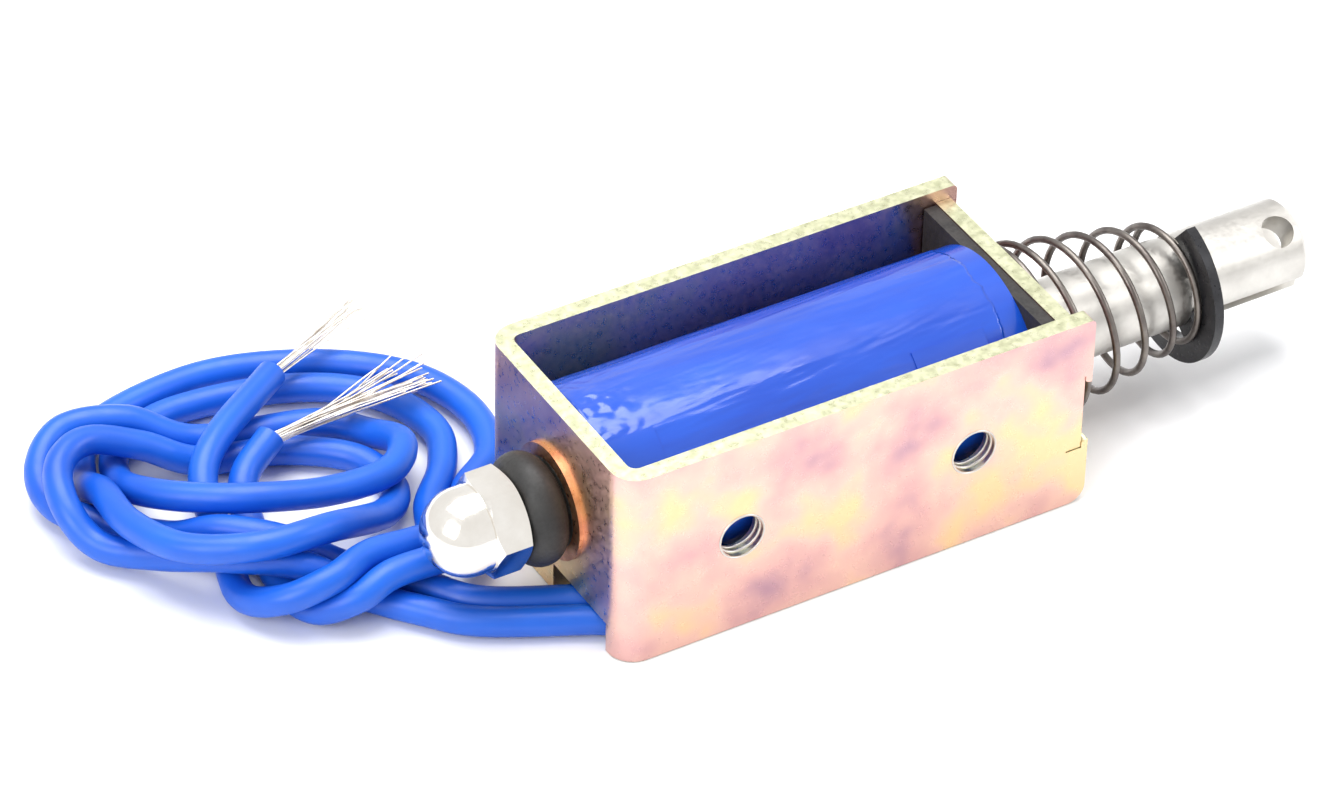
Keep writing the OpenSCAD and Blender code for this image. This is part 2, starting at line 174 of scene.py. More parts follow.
MIDDLE = (0, 0, 0.01)
soft_panel("top_panel", (-0.02, 0.12, 0.5), MIDDLE, 0.45, 3.4)
soft_panel("left_panel", (-0.5, -0.15, 0.35), MIDDLE, 0.35, 1.8)
soft_panel("right_panel", (0.45, -0.25, 0.3), MIDDLE, 0.3, 1.3)

# %% Floor
floor_mesh = bpy.data.meshes.new("floor")
floor_mesh.from_pydata([(-3, -3, 0), (3, -3, 0), (3, 3, 0), (-3, 3, 0)], [], [(0, 1, 2, 3)])
floor = bpy.data.objects.new("floor", floor_mesh)
floor.location.z = model_box[0][2] - 0.0001
bpy.context.scene.collection.objects.link(floor)
paper, parts, joins, paper_shader = new_material("white_paper")
paper_shader.inputs["Base Color"].default_value = (0.93, 0.93, 0.93, 1)
paper_shader.inputs["Roughness"].default_value = 0.9
floor_mesh.materials.append(paper)

# %% [markdown]
# ## The two lead wires
# The coil's two leads are thin stranded wires in blue plastic. They leave the frame side by side
# through a notch at the foot of its rear plate, lie on the table in a loose tangle, and end in
# bare tinned strands. A wire has the same round section all the way, so it is drawn as a curve with
# a round bevel. Its route is a list of points in millimetres, measured from the frame's rear near
# corner, where the CAD model lays its own solids.

# %% Routes of the leads
FRAME_LOW, FRAME_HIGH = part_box("yoke")
REAR_X, NEAR_Y = FRAME_LOW[0], FRAME_LOW[1]
LEAD_D = 0.0026
ROUTE_A = [
    (8, 6.05, 1.35), (4.5, 6.05, 1.35), (0, 8.2, 1.4), (-7, 12, 1.4), (-10.5, 17, 1.4), (-15, 21, 2),
    (-18.5, 23.5, 4.1), (-22.8, 27.5, 4.2), (-25.7, 31.5, 1.8), (-29.5, 36, 1.4), (-32.5, 39.5, 2),
    (-32, 43.5, 3), (-28.5, 46, 4.2), (-23.2, 44.5, 4.2), (-18, 42, 1.8), (-8, 39.5, 1.4),
    (-4.5, 35.5, 1.8), (-3.8, 31, 3.6), (-7, 27.5, 4.2), (-13, 27, 4.8), (-19.5, 28.5, 5.6),
    (-24, 32, 5), (-26.5, 36.5, 3.6), (-26, 41, 1.5), (-24, 44.5, 1.4), (-18, 46.8, 1.4),
    (-8, 45, 1.4), (-1.5, 40.5, 1.4), (0.8, 34, 1.4), (-1, 29, 1.4), (-4.5, 25, 1.4),
    (-6.5, 21, 1.8), (-9.5, 18.6, 3.9), (-14, 18, 4.8), (-18, 16.6, 4.9), (-22, 17.8, 3.4),
    (-23.8, 22, 1.5), (-22, 29, 1.4), (-21, 34.5, 3.2), (-17.8, 38.2, 4.4), (-9.5, 44, 4.3),
]
ROUTE_B = [
    (8, 3.2, 1.35), (3.5, 3.5, 1.35), (0, 5.3, 1.4), (-8, 9.5, 1.4), (-11.5, 13, 1.4),
    (-15, 17.3, 1.5), (-19, 20, 4.2), (-24, 24, 4.2), (-28, 29, 2.4), (-31.5, 33, 2),
    (-32.7, 36.7, 3.9), (-31.5, 40.5, 5.2), (-28, 42.5, 5.2), (-23.5, 41.3, 3.8), (-19, 39.5, 1.6),
    (-12, 37.5, 1.4), (-7, 33.5, 1.4), (-6, 28.5, 1.4), (-9, 24.5, 2.6), (-16, 21, 6.4),
    (-22.5, 21, 7), (-27.5, 25, 6), (-29.5, 31, 5), (-29.2, 37, 4), (-28.8, 41.5, 1.6),
    (-26.8, 45.8, 1.4), (-22.5, 49, 1.4), (-13, 50, 1.4), (-4, 46.8, 1.4), (2.5, 41.3, 1.4),
    (4.8, 34.5, 1.4), (3.3, 28.5, 1.4), (-1, 25, 1.4), (-2.3, 21, 1.4), (-3.8, 17.6, 2),
    (-7.5, 15.6, 3.9), (-13, 15.4, 4.3), (-16.5, 15.1, 3.3), (-19.3, 17.3, 1.6), (-20.2, 21.5, 1.4),
    (-18.8, 30.5, 1.5), (-17.2, 34.3, 2.8), (-13.5, 36.5, 4.2),
]


def route_line(route, steps=12):
    """A smooth line in metres through a route's points, never lower than half a lead."""
    spots = np.array(route) / 1000 + np.array([REAR_X, NEAR_Y, 0])
    spots = np.vstack([2 * spots[0] - spots[1], spots, 2 * spots[-1] - spots[-2]])
    line = []
    for a, b, c, d in zip(spots, spots[1:], spots[2:], spots[3:]):
        for t in np.arange(steps) / steps:
            line.append((2 * b + (c - a) * t + (2 * a - 5 * b + 4 * c - d) * t ** 2
                         + (3 * b - 3 * c + d - a) * t ** 3) / 2)
    line = np.array(line + [spots[-2]])
    line[:, 2] = np.maximum(line[:, 2], LEAD_D / 2)
    return line


def line_length(line):
    return float(np.linalg.norm(np.diff(line, axis=0), axis=1).sum())


line_a, line_b = route_line(ROUTE_A), route_line(ROUTE_B)
print("leads, mm:", round(1000 * line_length(line_a)), round(1000 * line_length(line_b)))


# %% The leads as bevelled curves
def lead_curve(name, line):
    """A round lead along a line, closed at both ends."""
    data = bpy.data.curves.new(name, "CURVE")
    data.dimensions = "3D"
    data.bevel_depth = LEAD_D / 2
    data.bevel_resolution = 6
    data.use_fill_caps = True
    spline = data.splines.new("POLY")
    spline.points.add(len(line) - 1)
    spline.points.foreach_set("co", np.hstack([line, np.ones((len(line), 1))]).ravel())
    made = bpy.data.objects.new(name, data)
    bpy.context.scene.collection.objects.link(made)
    return made


lead_a = lead_curve("lead_a", line_a)
lead_b = lead_curve("lead_b", line_b)

# %% [markdown]
# ## Node trees that make geometry
# The return spring, the threads in the side holes and the bare strands all repeat one small thing
# along a path, which is what Geometry Nodes are good at. Each tree is built here with named inputs,
# run once on an empty host object, and its result kept as a plain mesh.


# %% Helpers for geometry node trees
def new_tree(name, inputs):
    """A geometry tree with named inputs; gives the tree, its input node and its output node."""
    tree = bpy.data.node_groups.new(name, "GeometryNodeTree")
    tree.interface.new_socket("Geometry", in_out="OUTPUT", socket_type="NodeSocketGeometry")
    for label, kind in inputs.items():
        tree.interface.new_socket(label, in_out="INPUT", socket_type="NodeSocket" + kind)
    return tree, tree.nodes.new("NodeGroupInput"), tree.nodes.new("NodeGroupOutput")


def calc(tree, operation, a, b=0.0, c=0.0):
    """One Math node; each of a, b and c is a number or another node's output."""
    made = tree.nodes.new("ShaderNodeMath")
    made.operation = operation
    for socket, value in zip(made.inputs, (a, b, c)):
        if isinstance(value, (int, float)):
            socket.default_value = value
        else:
            tree.links.new(value, socket)
    return made.outputs[0]


def tube_end(tree, curve, given, out):
    """Turns a curve into wire by the tree's inputs Wire, Sides and Material, and sends it out."""
    ring = tree.nodes.new("GeometryNodeCurvePrimitiveCircle")
    sweep = node(tree.nodes, "GeometryNodeCurveToMesh", {"Fill Caps": True})
    whole = tree.nodes.new("GeometryNodeRealizeInstances")
    coat = tree.nodes.new("GeometryNodeSetMaterial")
    half_wire = calc(tree, "MULTIPLY", given.outputs["Wire"], 0.5)
    tree.links.new(half_wire, ring.inputs["Radius"])
    tree.links.new(given.outputs["Sides"], ring.inputs["Resolution"])
    tree.links.new(given.outputs["Material"], coat.inputs["Material"])
    tree.links.new(curve, sweep.inputs["Curve"])
    tree.links.new(ring.outputs[0], sweep.inputs["Profile Curve"])
    tree.links.new(sweep.outputs[0], whole.inputs[0])
    tree.links.new(whole.outputs[0], coat.inputs["Geometry"])
    tree.links.new(coat.outputs[0], out.inputs[0])


def grow(name, tree, values, place=None):
    """Runs a tree on an empty host and keeps the result as a plain mesh piece."""
    host = bpy.data.objects.new("host", bpy.data.meshes.new("host"))
    bpy.context.scene.collection.objects.link(host)
    run = host.modifiers.new("run", "NODES")
    run.node_group = tree
    for socket in tree.interface.items_tree:
        if socket.in_out == "INPUT":
            run[socket.identifier] = values[socket.name]
    ready = host.evaluated_get(bpy.context.evaluated_depsgraph_get())
    mesh = bpy.data.meshes.new_from_object(ready)
    host.modifiers.clear()
    bpy.data.objects.remove(host)
    mesh.name = name
    if place is not None:
        mesh.transform(place)
    made = bpy.data.objects.new(name, mesh)
    bpy.context.scene.collection.objects.link(made)
    mesh.polygons.foreach_set("use_smooth", [True] * len(mesh.polygons))
    print(name, "faces:", len(mesh.polygons))
    return made


# %% [markdown]
# ## Finishes
# Every finish is a small tree of shader nodes on Object coordinates, so a pattern keeps its real
# size on every piece. A fractal noise drives the colour through a ramp, and another drives the
# roughness and a shallow bump, because no plated or moulded surface is even.


# %% Pattern helpers
def cloud(parts, joins, size, detail=4.0, stretch=(1, 1, 1)):
    """Fractal noise whose features are about size metres across."""
    where = parts.new("ShaderNodeTexCoord")
    turn = node(parts, "ShaderNodeMapping", {"Scale": stretch})
    made = node(parts, "ShaderNodeTexNoise", {"Scale": 1 / size, "Detail": detail, "Roughness": 0.55})
    joins.new(where.outputs["Object"], turn.inputs["Vector"])
    joins.new(turn.outputs[0], made.inputs["Vector"])
    return made.outputs[0]


def ramp(parts, joins, source, stops):
    """A colour ramp over a source; stops are (place, (r, g, b))."""
    made = parts.new("ShaderNodeValToRGB")
    band = made.color_ramp.elements
    while len(band) < len(stops):
        band.new(0.5)
    for spot, (place, colour) in zip(band, stops):
        spot.position, spot.color = place, (*colour, 1)
    joins.new(source, made.inputs[0])
    return made.outputs[0]


def spread(parts, joins, source, low, high, start=0.3, stop=0.7):
    """A source between start and stop, laid out again between low and high."""
    made = node(parts, "ShaderNodeMapRange", {1: start, 2: stop, 3: low, 4: high})
    joins.new(source, made.inputs[0])
    return made.outputs[0]


def relief(parts, joins, shader, source, depth):
    """A shallow bump, depth metres high."""
    made = node(parts, "ShaderNodeBump", {"Strength": 1, "Distance": depth})
    joins.new(source, made.inputs["Height"])
    joins.new(made.outputs[0], shader.inputs["Normal"])


def finish(name, stops, size, rough, depth=0.0, metal=0.0, grain=None, stretch=(1, 1, 1), **sockets):
    """A finish with clouded colour, uneven roughness and a fine relief."""
    made, parts, joins, shader = new_material(name)
    joins.new(ramp(parts, joins, cloud(parts, joins, size, stretch=stretch), stops),
              shader.inputs["Base Color"])
    fine = cloud(parts, joins, grain or size / 4, stretch=stretch)
    joins.new(spread(parts, joins, fine, *rough), shader.inputs["Roughness"])
    if depth:
        relief(parts, joins, shader, fine, depth)
    shader.inputs["Metallic"].default_value = metal
    for label, value in sockets.items():
        shader.inputs[label.replace("_", " ")].default_value = value
    return made


# %% Plain finishes
nickel_dull = finish("plated_steel", [(0.3, (0.50, 0.48, 0.45)), (0.7, (0.66, 0.64, 0.60))],
                     0.004, (0.30, 0.46), 0.000004, metal=1.0, grain=0.0004)
nickel_bright = finish("bright_nickel", [(0.3, (0.80, 0.76, 0.70)), (0.7, (0.90, 0.87, 0.82))],
                       0.003, (0.10, 0.18), 0.000001, metal=1.0, grain=0.0006)
brass = finish("tube_brass", [(0.3, (0.45, 0.20, 0.12)), (0.5, (0.72, 0.38, 0.22)),
                              (0.7, (0.85, 0.52, 0.32))],
               0.0015, (0.25, 0.45), 0.000004, metal=1.0)
wire_steel = finish("spring_steel", [(0.3, (0.10, 0.085, 0.08)), (0.7, (0.22, 0.20, 0.18))],
                    0.002, (0.28, 0.45), 0.000003, metal=1.0, grain=0.0004)
clip_black = finish("black_steel", [(0.3, (0.012, 0.012, 0.014)), (0.7, (0.03, 0.03, 0.034))],
                    0.002, (0.25, 0.42), 0.000003, metal=0.4, grain=0.0003)
rubber = finish("black_rubber", [(0.3, (0.008, 0.008, 0.008)), (0.7, (0.02, 0.019, 0.018))],
                0.002, (0.45, 0.65), 0.00001, grain=0.0003)
board = finish("black_board", [(0.3, (0.010, 0.009, 0.009)), (0.7, (0.032, 0.028, 0.026))],
               0.0015, (0.55, 0.8), 0.00002, grain=0.0003)
moulding = finish("bobbin_plastic", [(0.3, (0.010, 0.010, 0.011)), (0.7, (0.022, 0.022, 0.024))],
                  0.003, (0.35, 0.5), 0.000005)
copper = finish("enamelled_copper", [(0.3, (0.35, 0.10, 0.04)), (0.7, (0.60, 0.22, 0.09))],
                0.001, (0.2, 0.35), 0.000003, metal=0.8)
tin = finish("tinned_copper", [(0.3, (0.55, 0.50, 0.44)), (0.6, (0.78, 0.75, 0.70)),
                               (0.8, (0.9, 0.88, 0.85))],
             0.001, (0.25, 0.45), metal=1.0)
lead_blue = finish("blue_insulation", [(0.3, (0.004, 0.085, 0.52)), (0.7, (0.008, 0.125, 0.66))],
                   0.012, (0.34, 0.46), 0.000006, grain=0.0012)
tape_blue = finish("blue_tape", [(0.3, (0.002, 0.045, 0.40)), (0.7, (0.006, 0.085, 0.56))],
                   0.006, (0.14, 0.26), 0.00001, grain=0.002, stretch=(0.25, 1, 1),
                   Coat_Weight=0.4, Coat_Roughness=0.08)
print("plain finishes ready")

# %% [markdown]
# ### Yellow zinc
# The frame is sheet steel plated with zinc and then dipped in yellow chromate, which dries to a
# thin film in pink, salmon and straw yellow. The sheet's cut edges are paler and greener. Most of
# them face straight up or down, so the finish finds those by the upright part of the surface's own
# normal.

# %% Zinc steel
zinc, parts, joins, zinc_shader = new_material("zinc_steel")
film = ramp(parts, joins, cloud(parts, joins, 0.012, detail=3), [
    (0.30, (0.42, 0.26, 0.33)), (0.42, (0.66, 0.40, 0.38)), (0.52, (0.76, 0.50, 0.42)),
    (0.62, (0.80, 0.58, 0.33)), (0.75, (0.62, 0.58, 0.34))])
cut = ramp(parts, joins, cloud(parts, joins, 0.0008), [
    (0.35, (0.52, 0.53, 0.34)), (0.65, (0.74, 0.74, 0.52))])
surface = parts.new("ShaderNodeNewGeometry")
axes = parts.new("ShaderNodeSeparateXYZ")
steep = node(parts, "ShaderNodeMath", operation="ABSOLUTE")
is_cut = node(parts, "ShaderNodeMapRange", {1: 0.75, 2: 0.95})
two_tone = node(parts, "ShaderNodeMix", data_type="RGBA")
joins.new(surface.outputs["Normal"], axes.inputs[0])
joins.new(axes.outputs["Z"], steep.inputs[0])
joins.new(steep.outputs[0], is_cut.inputs[0])
joins.new(is_cut.outputs[0], two_tone.inputs["Factor"])
joins.new(film, two_tone.inputs["A"])
joins.new(cut, two_tone.inputs["B"])
joins.new(two_tone.outputs["Result"], zinc_shader.inputs["Base Color"])
zinc_fine = cloud(parts, joins, 0.0006)
joins.new(spread(parts, joins, zinc_fine, 0.24, 0.40), zinc_shader.inputs["Roughness"])
relief(parts, joins, zinc_shader, zinc_fine, 0.000006)
zinc_shader.inputs["Metallic"].default_value = 1.0

# %% Give each CAD piece its finish
FINISHES = {
    zinc: ["yoke", "end_plate"],
    board: ["insulator_plate"],
    brass: ["guide_tube", "core_shim"],
    nickel_dull: ["fixed_core", "plunger", "push_rod"],
    moulding: ["bobbin", "splice_sleeve_a", "splice_sleeve_b"],
    copper: ["winding", "winding_tails"],
    tape_blue: ["tape_wrap", "tape_patches"],
    wire_steel: ["return_spring"],
    lead_blue: ["lead_wire_a", "lead_wire_b"],
    tin: ["strands_a", "strands_b"],
    nickel_bright: ["acorn_nut"],
    rubber: ["bumper"],
    clip_black: ["e_clip"],
}
for coat, names in FINISHES.items():
    for name in names:
        for place in nodes[name].material_slots:
            place.material = coat
print("CAD pieces finished:", sum(map(len, FINISHES.values())))
for lead in (lead_a, lead_b):
    lead.data.materials.append(lead_blue)

# %% [markdown]
# ## The return spring
# A conical spring pushes the plunger out: its big turn stands on the end plate and its small turn
# bears on the clip. Wire is wound at a steady pitch between closed turns at both ends. The tree
# bends a straight line into that cone, turn by turn, and sweeps a round wire along it. The same
# tree lays the thread ridges in the side holes, with another radius and pitch.

# %% A tree that winds wire
winding_tree, given, out = new_tree("wound_wire", {
    "Start radius": "Float", "End radius": "Float", "Length": "Float", "Open turns": "Float",
    "Closed turns": "Float", "Wire": "Float", "Steps": "Int", "Sides": "Int", "Material": "Material"})
feed = node(winding_tree.nodes, "GeometryNodeCurvePrimitiveLine", {"End": (0, 0, 1)})
feed_steps = node(winding_tree.nodes, "GeometryNodeResampleCurve")
share = node(winding_tree.nodes, "GeometryNodeSplineParameter")
bend = winding_tree.nodes.new("GeometryNodeSetPosition")
spot = winding_tree.nodes.new("ShaderNodeCombineXYZ")
closed = given.outputs["Closed turns"]
opened = given.outputs["Open turns"]
all_turns = calc(winding_tree, "MULTIPLY_ADD", closed, 2.0, opened)
turn = calc(winding_tree, "MULTIPLY", share.outputs["Factor"], all_turns)
into_open = calc(winding_tree, "DIVIDE", calc(winding_tree, "SUBTRACT", turn, closed), opened)
open_share = calc(winding_tree, "MINIMUM", calc(winding_tree, "MAXIMUM", into_open, 0.0), 1.0)
past_open = calc(winding_tree, "SUBTRACT", calc(winding_tree, "SUBTRACT", turn, closed), opened)
dead = calc(winding_tree, "ADD", calc(winding_tree, "MINIMUM", turn, closed),
            calc(winding_tree, "MAXIMUM", past_open, 0.0))
dead_step = calc(winding_tree, "MAXIMUM", calc(winding_tree, "SUBTRACT", dead, 0.3), 0.0)
wire_pitch = calc(winding_tree, "MULTIPLY", given.outputs["Wire"], 1.05)
dead_rise = calc(winding_tree, "MULTIPLY", wire_pitch, dead_step)
dead_whole = calc(winding_tree, "MULTIPLY", wire_pitch,
                  calc(winding_tree, "MAXIMUM", calc(winding_tree, "MULTIPLY_ADD", closed, 2.0, -0.6), 0.0))
open_length = calc(winding_tree, "SUBTRACT", given.outputs["Length"], dead_whole)
along = calc(winding_tree, "MULTIPLY_ADD", open_length, open_share, dead_rise)
taper = calc(winding_tree, "SUBTRACT", given.outputs["End radius"], given.outputs["Start radius"])
radius = calc(winding_tree, "MULTIPLY_ADD", taper, open_share, given.outputs["Start radius"])
angle = calc(winding_tree, "MULTIPLY", turn, 2 * math.pi)
winding_tree.links.new(along, spot.inputs["X"])
for operation, axis in (("COSINE", "Y"), ("SINE", "Z")):
    across = calc(winding_tree, "MULTIPLY", radius, calc(winding_tree, operation, angle))
    winding_tree.links.new(across, spot.inputs[axis])
winding_tree.links.new(feed.outputs[0], feed_steps.inputs["Curve"])
winding_tree.links.new(given.outputs["Steps"], feed_steps.inputs["Count"])
winding_tree.links.new(feed_steps.outputs[0], bend.inputs["Geometry"])
winding_tree.links.new(spot.outputs[0], bend.inputs["Position"])
tube_end(winding_tree, bend.outputs[0], given, out)

# %% Wind the spring
SPRING_LOW, SPRING_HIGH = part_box("return_spring")
PLUNGER_LOW, PLUNGER_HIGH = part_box("plunger")
AXIS_Y = (PLUNGER_LOW[1] + PLUNGER_HIGH[1]) / 2
AXIS_Z = (PLUNGER_LOW[2] + PLUNGER_HIGH[2]) / 2
WIRE_D = 0.00065
spring = grow("spring", winding_tree, {
    "Start radius": 0.0081, "End radius": 0.0053, "Wire": WIRE_D, "Material": wire_steel,
    "Length": SPRING_HIGH[0] - SPRING_LOW[0] - WIRE_D, "Open turns": 4.6, "Closed turns": 0.75,
    "Steps": 300, "Sides": 14}, Matrix.Translation((SPRING_LOW[0] + WIRE_D / 2, AXIS_Y, AXIS_Z)))

# %% [markdown]
# ## Bare strands
# Each lead's end is stripped, and its fine tinned wires have spread into a fan. They leave the
# insulation as one round bundle and bend apart further on. The tree copies one straight wire many
# times, gives each copy its own place in the bundle and its own lean, and lets the lean grow with
# the distance from the insulation.

# %% A tree that fans strands
fan_tree, given, out = new_tree("strand_fan", {
    "Root": "Vector", "Tip": "Vector", "Side": "Vector", "Lift": "Vector", "Count": "Int",
    "Bundle": "Float", "Wire": "Float", "Sides": "Int", "Seed": "Int", "Material": "Material"})
straight = fan_tree.nodes.new("GeometryNodeCurvePrimitiveLine")
points = node(fan_tree.nodes, "GeometryNodeResampleCurve", {"Count": 16})
copies = node(fan_tree.nodes, "GeometryNodeDuplicateElements", domain="SPLINE")
share = fan_tree.nodes.new("GeometryNodeSplineParameter")
move = fan_tree.nodes.new("GeometryNodeSetPosition")
fan_tree.links.new(given.outputs["Root"], straight.inputs["Start"])
fan_tree.links.new(given.outputs["Tip"], straight.inputs["End"])
fan_tree.links.new(straight.outputs[0], points.inputs["Curve"])
fan_tree.links.new(points.outputs[0], copies.inputs["Geometry"])
fan_tree.links.new(given.outputs["Count"], copies.inputs["Amount"])


def chance(low, high, step):
    """A random number of its own for each copy; step keeps the draws apart."""
    draw = node(fan_tree.nodes, "FunctionNodeRandomValue", data_type="FLOAT")
    draw.inputs[2].default_value, draw.inputs[3].default_value = low, high
    fan_tree.links.new(copies.outputs["Duplicate Index"], draw.inputs["ID"])
    fan_tree.links.new(calc(fan_tree, "ADD", given.outputs["Seed"], float(step)), draw.inputs["Seed"])
    return draw.outputs[1]


def vector_calc(operation, a, b=None, scale=None):
    """One Vector Math node on outputs or plain vectors."""
    made = fan_tree.nodes.new("ShaderNodeVectorMath")
    made.operation = operation
    for socket, value in zip(made.inputs, (a, b)):
        if value is not None and not hasattr(value, "node"):
            socket.default_value = value
        elif value is not None:
            fan_tree.links.new(value, socket)
    if scale is not None:
        fan_tree.links.new(scale, made.inputs["Scale"])
    return made.outputs[0]


grows = calc(fan_tree, "POWER", share.outputs["Factor"], 1.7)
around = chance(0, 2 * math.pi, 1)
out_from = calc(fan_tree, "MULTIPLY", calc(fan_tree, "SQRT", chance(0, 1, 2)), given.outputs["Bundle"])
side_way = vector_calc("NORMALIZE", given.outputs["Side"])
lift_way = vector_calc("NORMALIZE", given.outputs["Lift"])
bundle_side = calc(fan_tree, "MULTIPLY", out_from, calc(fan_tree, "COSINE", around))
bundle_lift = calc(fan_tree, "MULTIPLY", out_from, calc(fan_tree, "SINE", around))
bundle_spot = vector_calc(
    "ADD",
    vector_calc("SCALE", side_way, scale=bundle_side),
    vector_calc("SCALE", lift_way, scale=bundle_lift))
lean_side = calc(fan_tree, "MULTIPLY", grows, chance(-1, 1, 3))
lean_lift = calc(fan_tree, "MULTIPLY", grows, chance(-0.6, 1, 4))
wave = calc(fan_tree, "SINE", calc(fan_tree, "MULTIPLY_ADD", share.outputs["Factor"], 5.0, chance(0, 6, 5)))
ripple = calc(fan_tree, "MULTIPLY", calc(fan_tree, "MULTIPLY", wave, grows), 0.12)
lean = vector_calc(
    "ADD",
    vector_calc("SCALE", given.outputs["Side"], scale=calc(fan_tree, "ADD", lean_side, ripple)),
    vector_calc("SCALE", given.outputs["Lift"], scale=lean_lift))
shorter = calc(fan_tree, "MULTIPLY", grows, chance(-0.22, 0.02, 6))
along_wire = vector_calc("SUBTRACT", given.outputs["Tip"], given.outputs["Root"])
pull = vector_calc("SCALE", along_wire, scale=shorter)
fan_tree.links.new(copies.outputs[0], move.inputs["Geometry"])
fan_tree.links.new(vector_calc("ADD", vector_calc("ADD", bundle_spot, lean), pull), move.inputs["Offset"])
tube_end(fan_tree, move.outputs[0], given, out)


# %% Fan the strands at both ends
def strand_fan(name, line, count, tip, spread_side, spread_lift, seed):
    """A fan from a lead's end towards tip, a point measured as the routes are, in millimetres."""
    end, way = Vector(line[-1]), Vector(line[-1] - line[-4]).normalized()
    tip = Vector((REAR_X + tip[0] / 1000, NEAR_Y + tip[1] / 1000, tip[2] / 1000))
    side = (tip - end).cross(Vector((0, 0, 1))).normalized()
    return grow(name, fan_tree, {
        "Root": end - way * 0.0006, "Tip": tip, "Side": side * spread_side,
        "Lift": Vector((0, 0, spread_lift)), "Count": count, "Bundle": 0.00055, "Wire": 0.00017,
        "Sides": 6, "Seed": seed, "Material": tin})


fan_a = strand_fan("strand_fan_a", line_a, 13, (3.3, 49.5, 4.6), 0.0011, 0.0006, 3)
fan_b = strand_fan("strand_fan_b", line_b, 27, (2.2, 38.0, 4.8), 0.0032, 0.0012, 8)

# %% [markdown]
# ## Threads and burrs of the side holes
# The near side plate has two tapped holes. A thread in thin sheet is only two or three turns, and
# it shows as bright lines inside the hole. A punched and tapped hole also has a raised bright rim.

# %% Side holes
HOLE_R = 0.002
HOLE_X = (0.0113, 0.0339)
SHEET_T = 0.0016
THREAD_WIRE, THREAD_STAND, THREAD_INSET = 0.00034, 0.00002, 0.0002
RIM_STAND, RIM_R = 0.00012, 0.0001
threads = [grow(f"hole_thread_{side}", winding_tree, {
    "Start radius": HOLE_R + THREAD_STAND, "End radius": HOLE_R + THREAD_STAND, "Wire": THREAD_WIRE,
    "Material": nickel_dull, "Length": SHEET_T - 2 * THREAD_INSET, "Open turns": 2.0, "Closed turns": 0.0,
    "Steps": 110, "Sides": 6},
    Matrix.Translation((REAR_X + x, NEAR_Y + THREAD_INSET, AXIS_Z)) @ Matrix.Rotation(math.pi / 2, 4, "Z"))
    for side, x in zip(("rear", "front"), HOLE_X)]


def round_rim(name, centre, turn, radius, height, coat):
    """A ring of round section, height its radius, whose axis is the turned Z axis."""
    shape = bmesh.new()
    rows, sides = 48, 10
    grid = []
    for i in range(rows):
        a = 2 * math.pi * i / rows
        for k in range(sides):
            b = 2 * math.pi * k / sides
            r = radius + height * math.cos(b)
            grid.append(shape.verts.new((r * math.cos(a), r * math.sin(a), height * math.sin(b))))
    for i in range(rows):
        for k in range(sides):
            n, m = (i + 1) % rows, (k + 1) % sides
            corners = ((i, k), (n, k), (n, m), (i, m))
            shape.faces.new([grid[row * sides + side] for row, side in corners])
    mesh = bpy.data.meshes.new(name)
    shape.to_mesh(mesh)
    shape.free()
    mesh.transform(Matrix.Translation(centre) @ turn)
    mesh.polygons.foreach_set("use_smooth", [True] * len(mesh.polygons))
    mesh.materials.append(coat)
    made = bpy.data.objects.new(name, mesh)
    bpy.context.scene.collection.objects.link(made)
    return made


rims = [round_rim(f"hole_rim_{side}", (REAR_X + x, NEAR_Y, AXIS_Z), Matrix.Rotation(math.pi / 2, 4, "X"),
                  HOLE_R + RIM_STAND, RIM_R, nickel_dull) for side, x in zip(("rear", "front"), HOLE_X)]

# %% [markdown]
# ## The tape round the coil
# The coil is wrapped in glossy blue tape. The CAD solid is a plain sleeve. Over it goes most of one
# more turn with what hand winding leaves: long low wrinkles, a crumpled rear end and a torn edge
# short of the front end. It is a closed slab bent round the coil, and fractal noise lifts it.

# %% Outer turn of tape
TAPE_LOW, TAPE_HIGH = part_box("tape_wrap")
TAPE_R = (TAPE_HIGH[2] - AXIS_Z)
TURN_FROM, TURN_TO = math.radians(-62), math.radians(202)
TAPE_ROWS, TAPE_COLUMNS = 150, 260
TAPE_END_GAP, TAPE_UNDER = 0.0001, 0.00005
LIFT_MIN, LIFT_MAX = 0.00002, 0.00019


def tape_lift(x, a):
    """How far the tape stands off the sleeve at length x and angle a, in metres."""
    share = (x - TAPE_LOW[0]) / (TAPE_HIGH[0] - TAPE_LOW[0])
    wrinkle = noise.fractal(Vector((x * 90, a * 7, 1.5)), 1.0, 2.0, 4)
    fold = abs(noise.noise(Vector((x * 160, a * 16 + x * 200, 7))))
    crumple = max(0.0, 1 - share / 0.16) * abs(noise.noise(Vector((x * 700, a * 9, 3)))) * 2
    lift = 0.00006 + 0.00006 * wrinkle + 0.00005 * fold + 0.00010 * crumple
    return min(max(lift, LIFT_MIN), LIFT_MAX)


def tape_edge(a):
    """Where the torn edge of the outer turn runs, short of the coil's front end."""
    return TAPE_HIGH[0] - 0.0021 + 0.0004 * noise.fractal(Vector((a * 5, 2, 0)), 1.0, 2.0, 4)


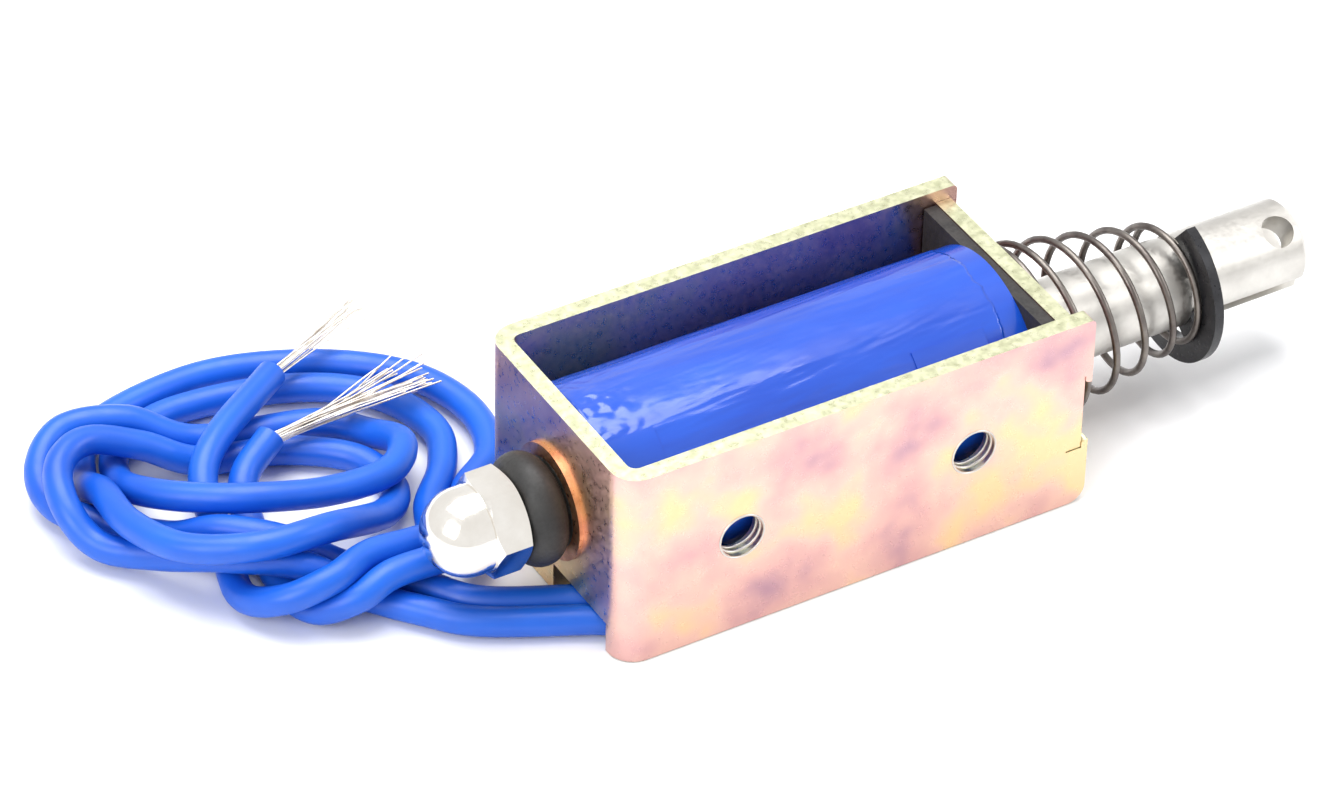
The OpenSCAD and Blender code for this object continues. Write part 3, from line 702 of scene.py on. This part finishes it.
tape_mesh = bmesh.new()
tape_start = TAPE_LOW[0] + TAPE_END_GAP
outer, inner = [], []
for i in range(TAPE_COLUMNS + 1):
    a = TURN_FROM + (TURN_TO - TURN_FROM) * i / TAPE_COLUMNS
    for j in range(TAPE_ROWS + 1):
        x = tape_start + (tape_edge(a) - tape_start) * j / TAPE_ROWS
        for store, r in ((outer, TAPE_R + tape_lift(x, a)), (inner, TAPE_R - TAPE_UNDER)):
            store.append(tape_mesh.verts.new((x, AXIS_Y + r * math.cos(a), AXIS_Z + r * math.sin(a))))


def tape_at(store, i, j):
    return store[i * (TAPE_ROWS + 1) + j]


for i in range(TAPE_COLUMNS):
    for j in range(TAPE_ROWS):
        corners = ((i, j), (i + 1, j), (i + 1, j + 1), (i, j + 1))
        for store in (outer, inner):
            tape_mesh.faces.new([tape_at(store, *corner) for corner in corners])
edge_walk = ([(i, 0) for i in range(TAPE_COLUMNS)] + [(TAPE_COLUMNS, j) for j in range(TAPE_ROWS)]
             + [(i, TAPE_ROWS) for i in range(TAPE_COLUMNS, 0, -1)]
             + [(0, j) for j in range(TAPE_ROWS, 0, -1)])
for here, there in zip(edge_walk, edge_walk[1:] + edge_walk[:1]):
    tape_mesh.faces.new([tape_at(outer, *here), tape_at(outer, *there),
                         tape_at(inner, *there), tape_at(inner, *here)])
bmesh.ops.recalc_face_normals(tape_mesh, faces=tape_mesh.faces)
outer_tape_data = bpy.data.meshes.new("outer_tape")
tape_mesh.to_mesh(outer_tape_data)
tape_mesh.free()
outer_tape_data.polygons.foreach_set("use_smooth", [True] * len(outer_tape_data.polygons))
outer_tape_data.materials.append(tape_blue)
outer_tape = bpy.data.objects.new("outer_tape", outer_tape_data)
bpy.context.scene.collection.objects.link(outer_tape)
print("outer tape faces:", len(outer_tape_data.polygons))

# %% [markdown]
# ## Which part moves with which
# The frame stands still, and every piece made here is hung on its body. On the solenoid the clip
# slides out and in with the plunger, and the spring, held between the end plate and the clip, flattens
# towards the plate by the plunger's stroke; neither is moved here. The spring gets a mesh of its own,
# and the CAD pieces that the new ones replace are hidden.

# %% Riding with the frame, and replacing
for piece, coat in ((spring, "spring_steel"), (lead_a, "blue_insulation"), (lead_b, "blue_insulation"),
                    (fan_a, "tinned_copper"), (fan_b, "tinned_copper"), (outer_tape, "blue_tape"),
                    *((made, "zinc_steel") for made in threads + rims)):
    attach(piece, "frame")
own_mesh(spring)
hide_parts("return_spring")
CORDS = ((lead_a, fan_a, "a", ROUTE_A, 0.234), (lead_b, fan_b, "b", ROUTE_B, 0.245))
for lead, fan, name, route, length in CORDS:
    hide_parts("lead_wire_" + name)
    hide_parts("strands_" + name)
